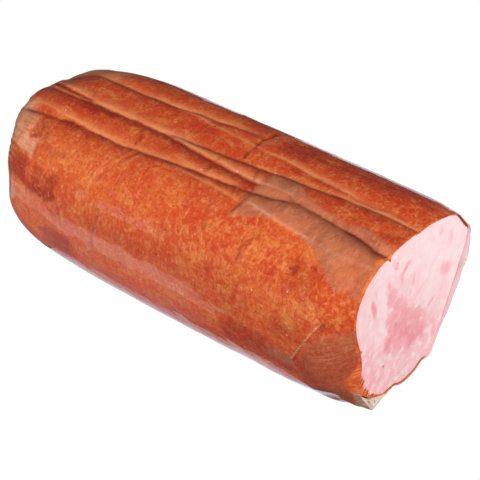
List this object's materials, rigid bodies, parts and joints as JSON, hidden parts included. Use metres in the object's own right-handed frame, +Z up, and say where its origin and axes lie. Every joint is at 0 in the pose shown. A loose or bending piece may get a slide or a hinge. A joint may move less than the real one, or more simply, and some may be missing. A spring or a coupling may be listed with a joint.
{
  "type": "smoked ham",
  "caption": "Smoked ham log with a mottled orange-brown skin in a thin casing, pleated along its top and cut straight across at one end to show pale pink meat.",
  "frame": {"origin": "on the surface that the ham lies on, under the middle of its bounding box", "axes": "+X along the log towards the cut face, +Z up, +Y across the log to the side whose casing stands out past the cut"},
  "size_m": [0.2622, 0.1158, 0.1012],
  "materials": {
    "meat": "moist cut cooked ham, pale pink with darker marbling",
    "casing": "clear smoke-browned casing, glossy where it clings to the skin and duller where it has come away"
  },
  "bodies": {
    "root": {"meat": "meat", "casing": "casing"}
  },
  "joints": []
}
